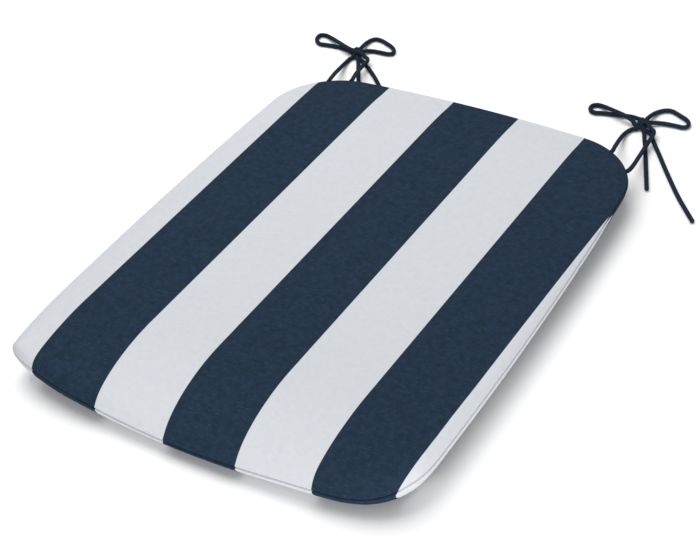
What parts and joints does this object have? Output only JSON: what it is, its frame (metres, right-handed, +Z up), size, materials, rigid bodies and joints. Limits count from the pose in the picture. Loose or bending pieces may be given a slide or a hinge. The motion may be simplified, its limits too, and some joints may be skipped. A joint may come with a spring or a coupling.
{
  "type": "seat pad",
  "caption": "Flat filled chair seat pad with rounded corners, a rolled front edge, broad woven stripes and cord ties in bows at its back corners.",
  "frame": {"origin": "on the resting surface, under the middle of the pad's outline", "axes": "+X to the right as seen from in front of the rolled edge, +Y from that edge to the back edge with the ties, +Z up out of the top panel"},
  "size_m": [0.5199, 0.6372, 0.0463],
  "materials": {
    "striped_canvas": "matt woven canvas in white and navy stripes",
    "tie_cord": "matt navy braided cord"
  },
  "bodies": {
    "root": {"pad": "striped_canvas", "knot_right": "tie_cord", "tie_right_a_lead": "tie_cord", "tie_right_a_loop": "tie_cord", "tie_right_a_tail": "tie_cord", "tie_right_b_lead": "tie_cord", "tie_right_b_loop": "tie_cord", "tie_right_b_tail": "tie_cord", "knot_left": "tie_cord", "tie_left_a_lead": "tie_cord", "tie_left_a_loop": "tie_cord", "tie_left_a_tail": "tie_cord", "tie_left_b_lead": "tie_cord", "tie_left_b_loop": "tie_cord", "tie_left_b_tail": "tie_cord"}
  },
  "joints": []
}
